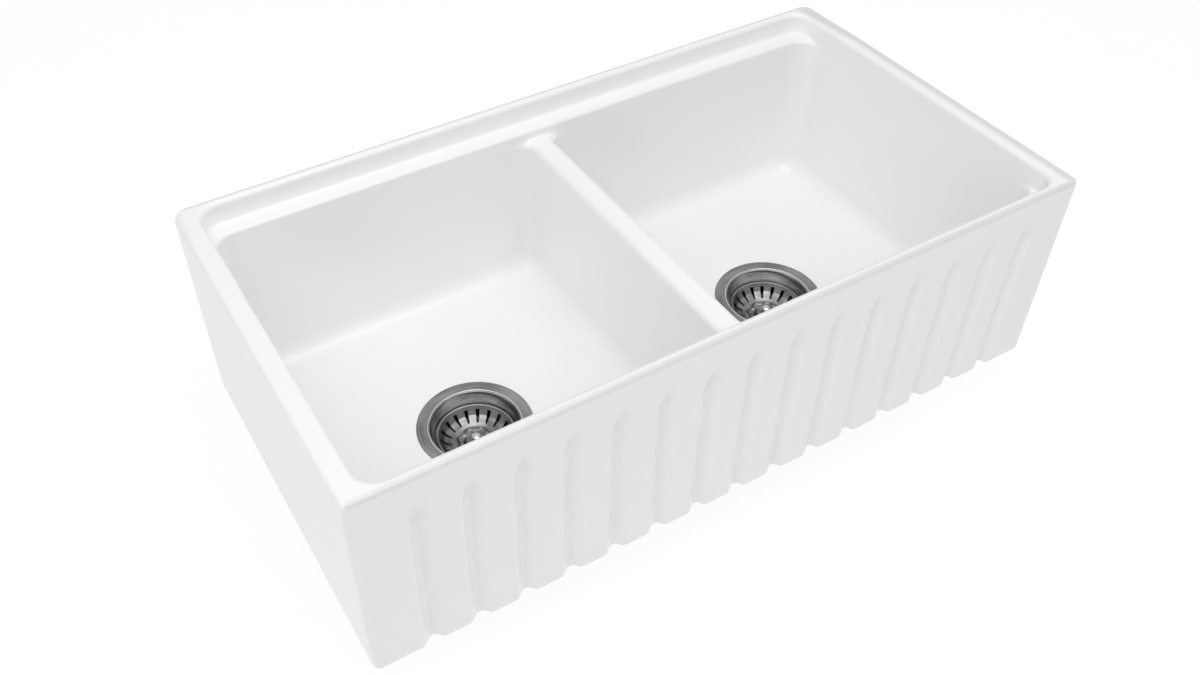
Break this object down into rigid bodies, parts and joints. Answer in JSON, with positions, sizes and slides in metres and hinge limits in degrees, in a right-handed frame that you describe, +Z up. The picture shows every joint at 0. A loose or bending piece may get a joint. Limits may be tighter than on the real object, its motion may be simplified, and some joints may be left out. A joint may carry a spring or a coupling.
{
  "type": "apron front kitchen sink",
  "caption": "Fluted white fireclay apron-front kitchen sink with two bowls, a low divider, ledges and lift-out basket strainer wastes.",
  "frame": {"origin": "on the flat underside, in the middle of the basin's width and depth", "axes": "+X along the apron to the right, +Y from the apron to the back, +Z up"},
  "size_m": [0.762, 0.406, 0.2945],
  "materials": {
    "fireclay_glaze": "gloss",
    "strainer_steel": "satin",
    "basket_steel": "gloss",
    "bolt_steel": "satin",
    "polished_knob": "polished",
    "soft_gasket": "matte",
    "black_rubber": "matte",
    "moulded_plastic": "satin",
    "turned_brass": "satin",
    "clip_plastic": "satin"
  },
  "bodies": {
    "basin": {"fireclay_basin": "fireclay_glaze", "left_strainer_cup": "strainer_steel", "left_flange_gasket": "soft_gasket", "left_under_gasket": "black_rubber", "left_waste_body": "moulded_plastic", "left_thread_insert": "turned_brass", "left_centre_bolt": "bolt_steel", "right_strainer_cup": "strainer_steel", "right_flange_gasket": "soft_gasket", "right_under_gasket": "black_rubber", "right_waste_body": "moulded_plastic", "right_thread_insert": "turned_brass", "right_centre_bolt": "bolt_steel"},
    "left_stem": {"left_basket_stem": "bolt_steel", "left_stem_clip": "clip_plastic", "left_basket_knob": "polished_knob"},
    "left_basket": {"left_basket_cup": "basket_steel", "left_basket_seal": "black_rubber"},
    "right_stem": {"right_basket_stem": "bolt_steel", "right_stem_clip": "clip_plastic", "right_basket_knob": "polished_knob"},
    "right_basket": {"right_basket_cup": "basket_steel", "right_basket_seal": "black_rubber"}
  },
  "joints": [
    {"name": "left_basket_lift", "type": "slide", "parent": "basin", "child": "left_stem", "axis": [0, 0, 1], "range_m": [0, 0.27]},
    {"name": "left_basket_turn", "type": "hinge", "parent": "left_stem", "child": "left_basket", "pos_m": [-0.1847, -0.0135, 0], "axis": [0, 0, 1], "continuous": true},
    {"name": "right_basket_lift", "type": "slide", "parent": "basin", "child": "right_stem", "axis": [0, 0, 1], "range_m": [0, 0.27]},
    {"name": "right_basket_turn", "type": "hinge", "parent": "right_stem", "child": "right_basket", "pos_m": [0.1847, -0.0135, 0], "axis": [0, 0, 1], "continuous": true}
  ]
}
